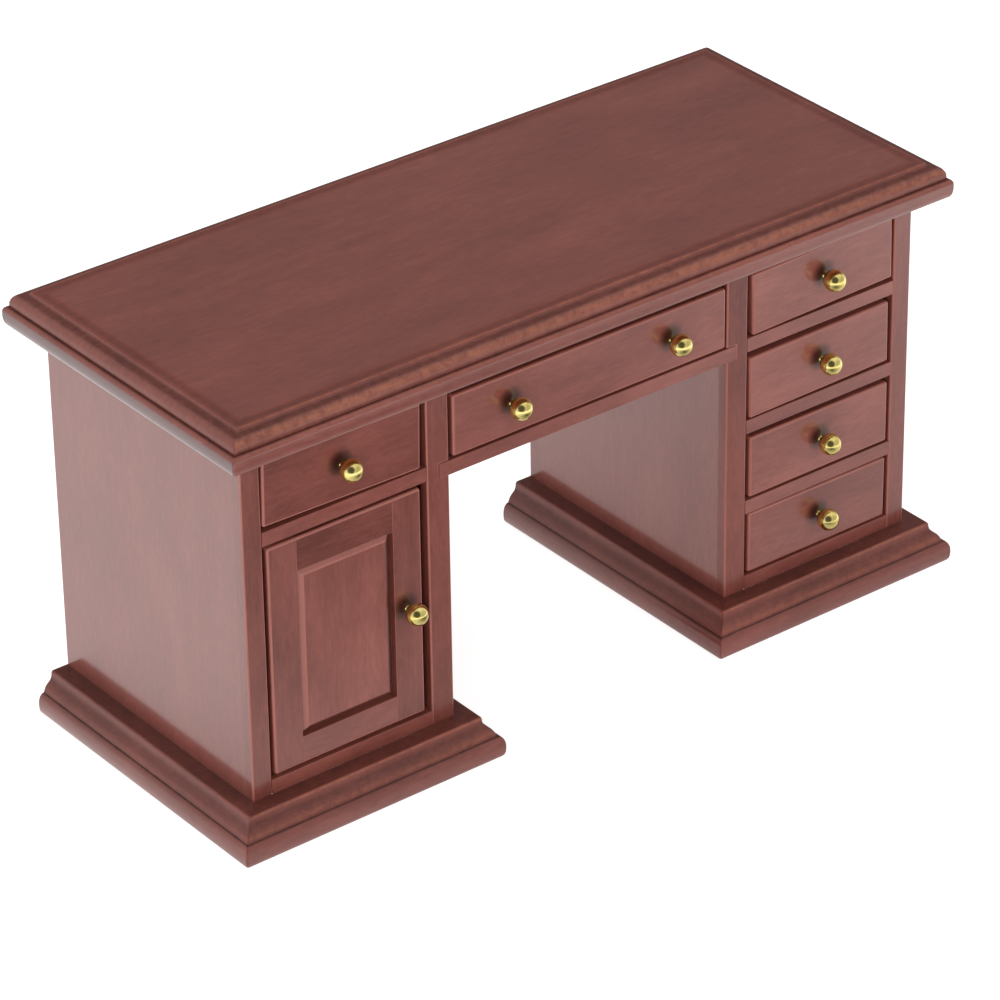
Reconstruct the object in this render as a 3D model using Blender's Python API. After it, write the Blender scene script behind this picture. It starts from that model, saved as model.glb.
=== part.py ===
"""Miniature twelfth-scale kneehole dressing table in mahogany, with brass knobs.

Metres, +Z up. X runs along the front, the front faces -Y, and the origin is
at the bottom centre of the whole table. Each wooden board, strip and knob is
its own object. Drawers hang on empties that slide along -Y, and the cupboard
door hangs on an empty that stands on its hinge line.
"""
import math

import bmesh
import bpy
from mathutils import Matrix, Vector

MM = 0.001
GAP = 0.3 * MM                    # air between any two separate pieces

# Overall sizes.
HEIGHT = 78.1 * MM
CARCASS_WIDTH = 140.6 * MM
CARCASS_DEPTH = 53.8 * MM
TOP_THICKNESS = 6.2 * MM
TOP_SIDE_OVERHANG = 4.7 * MM
TOP_FRONT_OVERHANG = 5.4 * MM
TOP_BACK_OVERHANG = 5.7 * MM
PLINTH_PROJECTION = 6.0 * MM
PLINTH_HEIGHT = 7.4 * MM
FOOT_CLEARANCE = 0.5 * MM         # carcass boards stop this far above the floor

# Face frame, seen from the front.
OUTER_STILE = 3.8 * MM
INNER_STILE = 4.5 * MM
KNEEHOLE_WIDTH = 58.6 * MM
FRAME_THICKNESS = 2.0 * MM
RAIL = 2.6 * MM                   # height of every rail between two openings
FLOOR_TOP = 10.0 * MM             # lower edge of the lowest openings
TOP_RAIL_BOTTOM = 69.7 * MM
UPPER_RAIL_TOP = 56.55 * MM       # rail under both pedestals' top drawers
CENTRE_RAIL_TOP = 56.1 * MM
MIDDLE_RAIL_TOP = 40.7 * MM
LOWER_RAIL_TOP = 24.95 * MM
CENTRE_RAIL_LAP = 1.7 * MM        # how far the centre rail is let into a stile

# Boards.
SIDE_THICKNESS = 2.5 * MM
BACK_THICKNESS = 2.0 * MM

# Drawers.
FRONT_THICKNESS = 2.4 * MM
PEDESTAL_FRONT_WIDTH = 31.2 * MM
PEDESTAL_FRONT_HEIGHT = 11.7 * MM
CENTRE_FRONT_WIDTH = 57.4 * MM
CENTRE_FRONT_HEIGHT = 11.3 * MM
DRAWER_LIFTS = {                  # each front's lower edge above its rail
    "left_drawer": 0.8 * MM, "centre_drawer": 0.35 * MM, "right_drawer_1": 0.4 * MM,
    "right_drawer_2": 0.3 * MM, "right_drawer_3": 0.35 * MM, "right_drawer_4": 0.35 * MM}
DRAWER_LENGTH = 46.0 * MM
DRAWER_WALL = 1.5 * MM
DRAWER_WALL_HEIGHT = 9.6 * MM
DRAWER_WALL_INSET = 0.5 * MM
DRAWER_BOTTOM = 0.9 * MM
CENTRE_KNOBS = (-16.6 * MM, 17.0 * MM)     # centre drawer's knobs from the middle of its front
RIGHT_KNOB_SHIFT = 0.4 * MM       # right drawers' knobs from the middle of their fronts

# Door.
DOOR_WIDTH = 30.5 * MM
DOOR_LEFT_GAP = 0.8 * MM
DOOR_TOP_GAP = 0.75 * MM
DOOR_BOTTOM_GAP = 0.6 * MM
DOOR_THICKNESS = 2.6 * MM
DOOR_STILE = 5.7 * MM
DOOR_KNOB_INSET = 3.1 * MM        # from the door's right edge
DOOR_KNOB_DROP = 0.25 * MM        # below the door's middle
DOOR_TOP_RAIL = 6.1 * MM
DOOR_BOTTOM_RAIL = 5.1 * MM
GROOVE_DEPTH = 1.2 * MM
TONGUE = 0.8 * MM
FIELD_SETBACK = 0.4 * MM          # raised field behind the door's face
PANEL_BEVEL = 1.9 * MM
PIN_RADIUS = 0.4 * MM
PIN_IN_DOOR = 2.0 * MM
PIN_IN_CARCASS = 1.2 * MM

# Knobs: (radius, distance out from the wood) from the wood to the ball's tip.
KNOB_REACH = 2.45 * MM            # wood to the ball's centre
KNOB_BALL = 1.95 * MM
KNOB_COLLAR = 1.0 * MM
KNOB_NECK = 0.6 * MM
KNOB_SIDES = 20

EASED_EDGE = 0.25 * MM

# Places that follow from the sizes above.
FRONT = PLINTH_PROJECTION - (PLINTH_PROJECTION + CARCASS_DEPTH + TOP_BACK_OVERHANG) / 2
BACK = FRONT + CARCASS_DEPTH
HALF = CARCASS_WIDTH / 2
KNEE = KNEEHOLE_WIDTH / 2
TOP_UNDERSIDE = HEIGHT - TOP_THICKNESS
CARCASS_TOP = TOP_UNDERSIDE - GAP
FRAME_BACK = FRONT + FRAME_THICKNESS
BOARD_FRONT = FRAME_BACK + GAP

WOOD = (0.30, 0.105, 0.075)
WOOD_LIGHT = (0.36, 0.14, 0.10)
WOOD_DARK = (0.22, 0.07, 0.05)
WOOD_INSIDE = (0.50, 0.36, 0.24)
BRASS = (0.80, 0.60, 0.22)


def clear_scene():
    for obj in list(bpy.data.objects):
        bpy.data.objects.remove(obj, do_unlink=True)


def finish(name, colour, roughness=0.35, metallic=0.0):
    """A material of the piece's own."""
    material = bpy.data.materials.new(name + "_finish")
    material.use_nodes = True
    shader = material.node_tree.nodes["Principled BSDF"]
    shader.inputs["Base Color"].default_value = (*colour, 1.0)
    shader.inputs["Roughness"].default_value = roughness
    shader.inputs["Metallic"].default_value = metallic
    return material


def pivot(name, location):
    """An empty that a moving piece's parts hang on."""
    empty = bpy.data.objects.new(name, None)
    empty.empty_display_size = 5 * MM
    empty.location = location
    bpy.context.scene.collection.objects.link(empty)
    return empty


def piece(name, mesh_data, colour, parent=None, roughness=0.35, metallic=0.0):
    """Turn world-space mesh data into a named object, under its pivot if it moves."""
    if parent is not None:
        bmesh.ops.translate(mesh_data, verts=mesh_data.verts, vec=-parent.location)
    bmesh.ops.recalc_face_normals(mesh_data, faces=mesh_data.faces)
    mesh = bpy.data.meshes.new(name)
    mesh_data.to_mesh(mesh)
    mesh_data.free()
    mesh.materials.append(finish(name, colour, roughness, metallic))
    obj = bpy.data.objects.new(name, mesh)
    obj.parent = parent
    bpy.context.scene.collection.objects.link(obj)
    return obj


def box_mesh(low, high):
    """A board between two corners."""
    data = bmesh.new()
    bmesh.ops.create_cube(data, size=1.0)
    size = Vector(high) - Vector(low)
    centre = (Vector(high) + Vector(low)) / 2
    bmesh.ops.scale(data, verts=data.verts, vec=size)
    bmesh.ops.translate(data, verts=data.verts, vec=centre)
    return data


def prism_mesh(outline, direction, length):
    """A flat outline of 3-D points pushed along a direction."""
    data = bmesh.new()
    face = data.faces.new([data.verts.new(point) for point in outline])
    pushed = bmesh.ops.extrude_face_region(data, geom=[face])["geom"]
    moved = [item for item in pushed if isinstance(item, bmesh.types.BMVert)]
    bmesh.ops.translate(data, verts=moved, vec=Vector(direction) * length)
    return data


def ring_mesh(rings):
    """A closed skin through rings of equal count, its two ends capped."""
    data = bmesh.new()
    loops = [[data.verts.new(point) for point in ring] for ring in rings]
    for lower, upper in zip(loops, loops[1:]):
        count = len(lower)
        for i in range(count):
            j = (i + 1) % count
            data.faces.new((lower[i], lower[j], upper[j], upper[i]))
    data.faces.new(loops[0])
    data.faces.new(loops[-1])
    return data


def ease(obj, width=EASED_EDGE, segments=1):
    """Sand a piece's sharp edges."""
    bevel = obj.modifiers.new("eased_edges", "BEVEL")
    bevel.width = width
    bevel.segments = segments
    bevel.limit_method = "ANGLE"


def arc(centre, radius, start, end, steps):
    """Points on an arc, angles in degrees, in the profile's own plane."""
    points = []
    for i in range(steps + 1):
        angle = math.radians(start + (end - start) * i / steps)
        points.append((centre[0] + radius * math.cos(angle), centre[1] + radius * math.sin(angle)))
    return points


def drill(obj, name, centre, radius, depth):
    """Bore a blind upright hole, centred on a point."""
    data = bmesh.new()
    bmesh.ops.create_cone(data, cap_ends=True, segments=12, radius1=radius, radius2=radius,
                          depth=depth, matrix=Matrix.Translation(centre))
    mesh = bpy.data.meshes.new(name)
    data.to_mesh(mesh)
    data.free()
    cutter = bpy.data.objects.new(name, mesh)
    cutter.hide_render = True
    cutter.display_type = "WIRE"
    bpy.context.scene.collection.objects.link(cutter)
    cut = obj.modifiers.new(name, "BOOLEAN")
    cut.operation = "DIFFERENCE"
    cut.object = cutter


# The top ---------------------------------------------------------------------

def top_profile():
    """Moulded edge from the underside to the upper face: (inset, height)."""
    lower = arc((0.7, 0.7), 0.7, 270, 180, 3)
    nosing = arc((1.5, 2.5), 1.5, 180, 110, 4)
    ovolo = arc((3.0, 3.9), 1.75, 172, 108, 4)
    cove = [(2.75, 5.75), (3.15, 5.85), (3.25, TOP_THICKNESS / MM)]
    return [(s * MM, h * MM) for s, h in lower + nosing + ovolo + cove]


def build_top():
    left = -HALF - TOP_SIDE_OVERHANG
    front = FRONT - TOP_FRONT_OVERHANG
    back = BACK + TOP_BACK_OVERHANG
    rings = []
    for inset, height in top_profile():
        x = -left - inset
        near = front + inset
        far = back - inset
        z = TOP_UNDERSIDE + height
        rings.append([(-x, near, z), (x, near, z), (x, far, z), (-x, far, z)])
    piece("table_top", ring_mesh(rings), WOOD, roughness=0.3)


# Pedestals -------------------------------------------------------------------

def mirrored(side, near, far):
    """Low and high X of a span given outwards from the middle, on one side."""
    return (near, far) if side > 0 else (-far, -near)


def build_side_boards(label, side):
    for part, near in (("outer", HALF - SIDE_THICKNESS), ("inner", KNEE)):
        low, high = mirrored(side, near, near + SIDE_THICKNESS)
        board = box_mesh((low, BOARD_FRONT, FOOT_CLEARANCE), (high, BACK, CARCASS_TOP))
        piece(f"{label}_{part}_side", board, WOOD_LIGHT)


def build_back(label, side):
    near = KNEE + SIDE_THICKNESS + GAP
    far = HALF - SIDE_THICKNESS - GAP
    low, high = mirrored(side, near, far)
    board = box_mesh((low, BACK - BACK_THICKNESS, FOOT_CLEARANCE), (high, BACK, CARCASS_TOP))
    piece(f"{label}_back", board, WOOD_DARK)


def shelf_outline(side, z):
    """A shelf whose front edge stands between the stiles as a rail."""
    stile_near = KNEE + INNER_STILE + GAP
    stile_far = HALF - OUTER_STILE - GAP
    board_near = KNEE + SIDE_THICKNESS + GAP
    board_far = HALF - SIDE_THICKNESS - GAP
    rear = BACK - BACK_THICKNESS - GAP
    outline = [(stile_near, FRONT), (stile_far, FRONT), (stile_far, BOARD_FRONT),
               (board_far, BOARD_FRONT), (board_far, rear), (board_near, rear),
               (board_near, BOARD_FRONT), (stile_near, BOARD_FRONT)]
    return [(side * x, y, z) for x, y in outline]


def build_shelf(name, side, top, colour=WOOD):
    data = prism_mesh(shelf_outline(side, top - RAIL), (0, 0, 1), RAIL)
    return piece(name, data, colour)


def build_outer_stile(label, side):
    low, high = mirrored(side, HALF - OUTER_STILE, HALF)
    board = box_mesh((low, FRONT, FOOT_CLEARANCE), (high, FRAME_BACK, CARCASS_TOP))
    piece(f"{label}_outer_stile", board, WOOD)


def build_inner_stile(label, side):
    """The stile beside the kneehole, notched for the centre rail's end."""
    near = KNEE
    notch = KNEE + CENTRE_RAIL_LAP + GAP
    far = KNEE + INNER_STILE
    low = CENTRE_RAIL_TOP - RAIL - GAP
    high = CENTRE_RAIL_TOP + GAP
    top = TOP_RAIL_BOTTOM - GAP
    outline = [(near, FOOT_CLEARANCE), (far, FOOT_CLEARANCE), (far, top), (near, top),
               (near, high), (notch, high), (notch, low), (near, low)]
    data = prism_mesh([(side * x, FRONT, z) for x, z in outline], (0, 1, 0), FRAME_THICKNESS)
    piece(f"{label}_inner_stile", data, WOOD)


# Plinth mouldings --------------------------------------------------------------

def plinth_profile():
    """Plinth moulding from its foot, up the face, to its inner top edge: (out, height)."""
    face = [(0.0, 0.0), (PLINTH_PROJECTION / MM, 0.0)]
    nosing = arc((5.2, 3.1), 0.8, 0, 80, 3)
    band = [(4.65, 4.2), (4.3, 4.75), (3.5, 5.35), (2.85, 5.85), (2.55, 6.35)]
    bead = arc((2.1, 6.95), 0.45, 0, 90, 3)
    top = [(0.0, PLINTH_HEIGHT / MM)]
    return [(out * MM, height * MM) for out, height in face + nosing + band + bead + top]


def moulding_mesh(start, end, outward, start_mitre, end_mitre):
    """A strip from start to end, each end square (0) or mitred outwards (1)."""
    run = (Vector(end) - Vector(start)).normalized()
    across = Vector(outward)
    relief = GAP / 2 * math.sqrt(2)
    rings = []
    for corner, mitre, sign in ((Vector(start), start_mitre, -1), (Vector(end), end_mitre, 1)):
        ring = []
        for out, height in plinth_profile():
            reach = max(out, GAP)
            shift = sign * (reach - relief) * mitre
            ring.append(corner + across * reach + run * shift + Vector((0, 0, height)))
        rings.append(ring)
    return ring_mesh(rings)


def build_plinth(label, side):
    inner = side * KNEE
    outer = side * HALF
    left, right = min(inner, outer), max(inner, outer)
    names = {"left": "outer" if side < 0 else "inner", "right": "inner" if side < 0 else "outer"}
    front = moulding_mesh((left, FRONT, 0), (right, FRONT, 0), (0, -1, 0), 1, 1)
    piece(f"{label}_plinth_front", front, WOOD)
    run_left = moulding_mesh((left, BACK, 0), (left, FRONT, 0), (-1, 0, 0), 0, 1)
    piece(f"{label}_plinth_{names['left']}", run_left, WOOD)
    run_right = moulding_mesh((right, FRONT, 0), (right, BACK, 0), (1, 0, 0), 1, 0)
    piece(f"{label}_plinth_{names['right']}", run_right, WOOD)


# Centre --------------------------------------------------------------------------

def build_top_rail():
    half = HALF - OUTER_STILE - GAP
    board = box_mesh((-half, FRONT, TOP_RAIL_BOTTOM), (half, FRAME_BACK, CARCASS_TOP))
    piece("top_rail", board, WOOD)


def build_centre_shelf():
    lap = KNEE + CENTRE_RAIL_LAP
    board = KNEE - GAP
    rear = BACK - BACK_THICKNESS - GAP
    outline = [(-lap, FRONT), (lap, FRONT), (lap, FRAME_BACK), (board, FRAME_BACK),
               (board, rear), (-board, rear), (-board, FRAME_BACK), (-lap, FRAME_BACK)]
    z = CENTRE_RAIL_TOP - RAIL
    data = prism_mesh([(x, y, z) for x, y in outline], (0, 0, 1), RAIL)
    piece("centre_shelf", data, WOOD)


def build_centre_back():
    half = KNEE - GAP
    low = CENTRE_RAIL_TOP - RAIL
    board = box_mesh((-half, BACK - BACK_THICKNESS, low), (half, BACK, CARCASS_TOP))
    piece("centre_back", board, WOOD_DARK)


# Knobs -----------------------------------------------------------------------------

def knob_profile():
    """(radius, distance out from the wood), collar to tip, without the pole."""
    collar = [(KNOB_COLLAR, GAP), (KNOB_COLLAR, GAP + 0.12 * MM)]
    neck = [(KNOB_NECK, GAP + 0.2 * MM)]
    meet = math.degrees(math.asin(KNOB_NECK / KNOB_BALL))
    steps = 9
    ball = []
    for i in range(steps):
        angle = math.radians(180 - meet - (180 - meet) * i / steps)
        ball.append((KNOB_BALL * math.sin(angle), KNOB_REACH + KNOB_BALL * math.cos(angle)))
    return collar + neck + ball


def build_knob(name, x, z, parent):
    data = bmesh.new()
    rings = []
    for radius, out in knob_profile():
        ring = []
        for i in range(KNOB_SIDES):
            angle = 2 * math.pi * i / KNOB_SIDES
            place = (x + radius * math.cos(angle), FRONT - out, z + radius * math.sin(angle))
            ring.append(data.verts.new(place))
        rings.append(ring)
    tip = data.verts.new((x, FRONT - KNOB_REACH - KNOB_BALL, z))
    for lower, upper in zip(rings, rings[1:]):
        for i in range(KNOB_SIDES):
            j = (i + 1) % KNOB_SIDES
            data.faces.new((lower[i], lower[j], upper[j], upper[i]))
    for i in range(KNOB_SIDES):
        data.faces.new((rings[-1][i], rings[-1][(i + 1) % KNOB_SIDES], tip))
    data.faces.new(rings[0])
    knob = piece(name, data, BRASS, parent, roughness=0.2, metallic=1.0)
    knob.data.shade_smooth()
    knob.data.set_sharp_from_angle(angle=math.radians(40))


# Drawers -----------------------------------------------------------------------------

def build_drawer_frame(label, left, right, low, parent):
    """Two sides and a back in one U, open towards the front."""
    near = FRONT + FRONT_THICKNESS + GAP
    far = FRONT + FRONT_THICKNESS + DRAWER_LENGTH
    outline = [(left, near), (left + DRAWER_WALL, near), (left + DRAWER_WALL, far - DRAWER_WALL),
               (right - DRAWER_WALL, far - DRAWER_WALL), (right - DRAWER_WALL, near),
               (right, near), (right, far), (left, far)]
    data = prism_mesh([(x, y, low) for x, y in outline], (0, 0, 1), DRAWER_WALL_HEIGHT)
    piece(f"{label}_frame", data, WOOD_INSIDE, parent, roughness=0.6)
    tray_low = (left + DRAWER_WALL + GAP, near, low)
    tray_high = (right - DRAWER_WALL - GAP, far - DRAWER_WALL - GAP, low + DRAWER_BOTTOM)
    piece(f"{label}_bottom", box_mesh(tray_low, tray_high), WOOD_INSIDE, parent, roughness=0.6)


def build_drawer(label, left, low, width, height, knobs):
    """A drawer whose front's lower left corner is at (left, low)."""
    middle = left + width / 2
    slide = pivot(f"{label}_slide", (middle, FRONT, low + height / 2))
    right = left + width
    front = box_mesh((left, FRONT, low), (right, FRONT + FRONT_THICKNESS, low + height))
    ease(piece(f"{label}_front", front, WOOD_LIGHT, slide))
    build_drawer_frame(label, left + DRAWER_WALL_INSET, right - DRAWER_WALL_INSET, low + GAP, slide)
    for suffix, offset in knobs:
        build_knob(f"{label}_{suffix}", middle + offset, low + height / 2, slide)


def build_pedestal_drawer(label, side, inner_gap, rail_top):
    """A pedestal drawer, its front a given gap away from the inner stile."""
    near = KNEE + INNER_STILE + inner_gap
    left = near if side > 0 else -near - PEDESTAL_FRONT_WIDTH
    knob_shift = RIGHT_KNOB_SHIFT if side > 0 else 0.0
    build_drawer(label, left, rail_top + DRAWER_LIFTS[label], PEDESTAL_FRONT_WIDTH,
                 PEDESTAL_FRONT_HEIGHT, [("knob", knob_shift)])


def build_centre_drawer():
    left = -KNEE + 0.9 * MM
    knobs = list(zip(("knob_left", "knob_right"), CENTRE_KNOBS))
    build_drawer("centre_drawer", left, CENTRE_RAIL_TOP + DRAWER_LIFTS["centre_drawer"],
                 CENTRE_FRONT_WIDTH, CENTRE_FRONT_HEIGHT, knobs)


# Door ------------------------------------------------------------------------------------

def groove_lines():
    """Y of the panel's tongue, front and back, and of the groove round it."""
    tongue_front = FRONT + (DOOR_THICKNESS - TONGUE) / 2
    tongue_back = tongue_front + TONGUE
    return tongue_front, tongue_back, tongue_front - GAP, tongue_back + GAP


def door_edges():
    """Left, right, bottom and top of the closed door."""
    left = -HALF + OUTER_STILE + DOOR_LEFT_GAP
    bottom = FLOOR_TOP + DOOR_BOTTOM_GAP
    top = UPPER_RAIL_TOP - RAIL - DOOR_TOP_GAP
    return left, left + DOOR_WIDTH, bottom, top


def hinge_line():
    left = door_edges()[0]
    return left + DOOR_THICKNESS / 2, FRONT + DOOR_THICKNESS / 2


def grooved_outline(outer, inner):
    """Section of a frame member, grooved on the side that holds the panel."""
    _, _, near, far = groove_lines()
    back = FRONT + DOOR_THICKNESS
    root = inner - math.copysign(GROOVE_DEPTH, inner - outer)
    return [(outer, FRONT), (inner, FRONT), (inner, near), (root, near),
            (root, far), (inner, far), (inner, back), (outer, back)]


def build_door_stile(name, outer, inner, parent):
    _, _, bottom, top = door_edges()
    outline = [(x, y, bottom) for x, y in grooved_outline(outer, inner)]
    return piece(name, prism_mesh(outline, (0, 0, 1), top - bottom), WOOD_LIGHT, parent)


def build_door_rail(name, outer, inner, parent):
    left, right, _, _ = door_edges()
    start = left + DOOR_STILE + GAP
    length = right - DOOR_STILE - GAP - start
    outline = [(start, y, z) for z, y in grooved_outline(outer, inner)]
    return piece(name, prism_mesh(outline, (1, 0, 0), length), WOOD, parent)


def build_door_panel(parent):
    """A raised and fielded panel: a thin tongue all round, bevelled up to a flat field."""
    left, right, bottom, top = door_edges()
    reach = GROOVE_DEPTH - GAP
    tongue_front, tongue_back, _, _ = groove_lines()
    middle_x = (left + right) / 2
    half_width = DOOR_WIDTH / 2 - DOOR_STILE
    low = bottom + DOOR_BOTTOM_RAIL
    high = top - DOOR_TOP_RAIL
    middle_z = (low + high) / 2
    half_height = (high - low) / 2
    levels = [(reach, tongue_back), (reach, tongue_front), (-GAP, tongue_front),
              (-PANEL_BEVEL, FRONT + FIELD_SETBACK)]
    rings = []
    for grow, y in levels:
        w = half_width + grow
        h = half_height + grow
        rings.append([(middle_x + sx * w, y, middle_z + sz * h)
                      for sx, sz in ((-1, -1), (1, -1), (1, 1), (-1, 1))])
    piece("door_panel", ring_mesh(rings), WOOD_LIGHT, parent)


def build_pin(name, low, high, parent):
    x, y = hinge_line()
    data = bmesh.new()
    middle = Matrix.Translation((x, y, (low + high) / 2))
    bmesh.ops.create_cone(data, cap_ends=True, segments=12, radius1=PIN_RADIUS,
                          radius2=PIN_RADIUS, depth=high - low, matrix=middle)
    piece(name, data, BRASS, parent, roughness=0.3, metallic=1.0)


def drill_for_pin(obj, name, low, high):
    """Bore a clear hole for a hinge pin between two heights."""
    x, y = hinge_line()
    centre = Vector((x, y, (low + high) / 2))
    drill(obj, name, centre, PIN_RADIUS + GAP, high - low)


def build_door(floor, divider):
    left, right, bottom, top = door_edges()
    x, y = hinge_line()
    hinge = pivot("door_hinge", (x, y, (bottom + top) / 2))
    stile = build_door_stile("door_hinge_stile", left, left + DOOR_STILE, hinge)
    build_door_stile("door_knob_stile", right, right - DOOR_STILE, hinge)
    build_door_rail("door_top_rail", top, top - DOOR_TOP_RAIL, hinge)
    build_door_rail("door_bottom_rail", bottom, bottom + DOOR_BOTTOM_RAIL, hinge)
    build_door_panel(hinge)
    build_knob("door_knob", right - DOOR_KNOB_INSET, (bottom + top) / 2 - DOOR_KNOB_DROP, hinge)
    ceiling = UPPER_RAIL_TOP - RAIL
    over = 1.0 * MM
    build_pin("door_top_pin", top - PIN_IN_DOOR, ceiling + PIN_IN_CARCASS, hinge)
    build_pin("door_bottom_pin", FLOOR_TOP - PIN_IN_CARCASS, bottom + PIN_IN_DOOR, hinge)
    drill_for_pin(stile, "stile_top_hole", top - PIN_IN_DOOR - GAP, top + over)
    drill_for_pin(stile, "stile_bottom_hole", bottom - over, bottom + PIN_IN_DOOR + GAP)
    drill_for_pin(divider, "divider_hole", ceiling - over, ceiling + PIN_IN_CARCASS + GAP)
    drill_for_pin(floor, "floor_hole", FLOOR_TOP - PIN_IN_CARCASS - GAP, FLOOR_TOP + over)


def build_pedestal(label, side):
    build_side_boards(label, side)
    build_back(label, side)
    build_outer_stile(label, side)
    build_inner_stile(label, side)
    build_plinth(label, side)
    return build_shelf(f"{label}_floor", side, FLOOR_TOP, WOOD_DARK)


def main():
    clear_scene()
    build_top()
    left_floor = build_pedestal("left", -1)
    build_pedestal("right", 1)
    left_divider = build_shelf("left_shelf", -1, UPPER_RAIL_TOP)
    build_shelf("right_upper_shelf", 1, UPPER_RAIL_TOP)
    build_shelf("right_middle_shelf", 1, MIDDLE_RAIL_TOP)
    build_shelf("right_lower_shelf", 1, LOWER_RAIL_TOP)
    build_top_rail()
    build_centre_shelf()
    build_centre_back()
    build_pedestal_drawer("left_drawer", -1, 1.1 * MM, UPPER_RAIL_TOP)
    build_centre_drawer()
    right_rails = (UPPER_RAIL_TOP, MIDDLE_RAIL_TOP, LOWER_RAIL_TOP, FLOOR_TOP)
    right_gaps = (1.1, 0.7, 0.9, 0.8)
    for number, (rail_top, gap) in enumerate(zip(right_rails, right_gaps), start=1):
        build_pedestal_drawer(f"right_drawer_{number}", 1, gap * MM, rail_top)
    build_door(left_floor, left_divider)


main()
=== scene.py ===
"""Twelfth-scale mahogany dressing table with a kneehole, drawers, a cupboard and brass knobs.

The table's frame is loaded first. Each operator then models one piece, or one group of like
pieces, round that frame, gives it its finish and says which part of the table it moves with.
"""
import math
from collections import namedtuple

import bmesh
import bpy
from bpy.props import FloatProperty, FloatVectorProperty, IntProperty, PointerProperty
from bpy.types import Operator, Panel, PropertyGroup
from mathutils import Matrix, Vector


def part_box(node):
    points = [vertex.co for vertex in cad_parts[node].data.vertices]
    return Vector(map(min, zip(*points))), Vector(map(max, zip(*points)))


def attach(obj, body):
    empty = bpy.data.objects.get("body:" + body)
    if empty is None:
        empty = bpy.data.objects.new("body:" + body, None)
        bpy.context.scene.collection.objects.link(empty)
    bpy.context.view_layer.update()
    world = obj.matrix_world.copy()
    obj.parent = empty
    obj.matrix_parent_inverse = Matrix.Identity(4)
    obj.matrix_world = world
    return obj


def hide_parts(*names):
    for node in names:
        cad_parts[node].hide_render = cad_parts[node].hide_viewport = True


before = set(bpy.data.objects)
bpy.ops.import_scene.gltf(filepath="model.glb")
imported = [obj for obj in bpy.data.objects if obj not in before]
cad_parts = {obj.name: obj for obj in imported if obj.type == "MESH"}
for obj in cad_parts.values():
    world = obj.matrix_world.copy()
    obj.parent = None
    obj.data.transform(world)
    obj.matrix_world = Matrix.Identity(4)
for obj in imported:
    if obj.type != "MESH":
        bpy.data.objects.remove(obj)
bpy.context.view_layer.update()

bl_info = {
    "name": "Miniature dressing table",
    "version": (1, 0, 0),
    "blender": (4, 5, 0),
    "location": "3D View > Sidebar > Dressing table",
    "description": "Models a twelfth-scale mahogany dressing table on its frame",
    "category": "Add Mesh",
}

MM = 0.001
GAP = 0.3 * MM                    # the frame's gap between two boards
HAIRLINE = 0.296 * MM             # closes that gap to a fine line
SEAM = 0.02 * MM                  # left between pieces that are fitted into each other
SLIVER = 0.0001 * MM              # length of a step's first, still unwidened, slice
DRAWERS = ("left_drawer", "centre_drawer", "right_drawer_1", "right_drawer_2", "right_drawer_3",
           "right_drawer_4")
X, Y, Z = 0, 1, 2

# A moulding for its stain and its painted light: its block's corners and its girth, then curves
# of (share of the girth, amount): stain left in the hollows with painted shade in the creases,
# stain thinned by wear with a painted highlight, varnish left, and painted shade only on the
# moulding's ends.
Moulding = namedtuple("Moulding", "low high girth pooled rubbed varnish at_ends", defaults=(None,))


# Settings ----------------------------------------------------------------------


class WoodSettings(PropertyGroup):
    mid: FloatVectorProperty(
        name="Mahogany", description="Stained wood where the stain is even", subtype="COLOR",
        size=3, min=0, max=1, default=(0.205, 0.055, 0.041))
    dark: FloatVectorProperty(
        name="Dark grain", description="Wood where the stain has gathered", subtype="COLOR",
        size=3, min=0, max=1, default=(0.105, 0.026, 0.019))
    light: FloatVectorProperty(
        name="Light grain", description="Wood where the stain is thin", subtype="COLOR",
        size=3, min=0, max=1, default=(0.31, 0.095, 0.070))
    # Also a painted highlight along the fronts of the mouldings.
    rubbed: FloatVectorProperty(
        name="Rubbed wood", description="Wood where the stain is rubbed off the mouldings",
        subtype="COLOR", size=3, min=0, max=1, default=(0.46, 0.17, 0.085))
    # Also painted shade: in the mouldings' creases, on the top's ends and round the knobs.
    pooled: FloatVectorProperty(
        name="Pooled stain", description="Stain lying in a moulding's hollows", subtype="COLOR",
        size=3, min=0, max=1, default=(0.030, 0.008, 0.006))
    lining: FloatVectorProperty(
        name="Drawer lining", description="Bare wood inside the drawers", subtype="COLOR",
        size=3, min=0, max=1, default=(0.50, 0.32, 0.18))
    roughness: FloatProperty(
        name="Roughness", description="Roughness of the stained wood under its varnish",
        subtype="FACTOR", min=0, max=1, default=0.36)
    varnish_roughness: FloatProperty(
        name="Varnish roughness", description="Roughness of the clear varnish", subtype="FACTOR",
        min=0, max=1, default=0.14)


class EdgeSettings(PropertyGroup):
    board: FloatProperty(
        name="Board edge", description="Radius sanded on the edges of boards and rails",
        unit="LENGTH", min=0.05 * MM, max=1 * MM, default=0.28 * MM)
    front: FloatProperty(
        name="Drawer front edge", description="Radius sanded on the edges of drawer fronts",
        unit="LENGTH", min=0.05 * MM, max=1 * MM, default=0.42 * MM)
    corner: FloatProperty(
        name="Moulding corner", description="Radius on the upright corners of a moulding",
        unit="LENGTH", min=0.05 * MM, max=1 * MM, default=0.35 * MM)
    segments: IntProperty(
        name="Segments", description="Facets across each rounded edge", min=1, max=6, default=3)


class BrassSettings(PropertyGroup):
    colour: FloatVectorProperty(
        name="Brass", description="Polished brass", subtype="COLOR", size=3, min=0, max=1,
        default=(0.90, 0.75, 0.28))
    roughness: FloatProperty(
        name="Roughness", description="Roughness of the polished brass", subtype="FACTOR",
        min=0, max=1, default=0.15)


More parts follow.
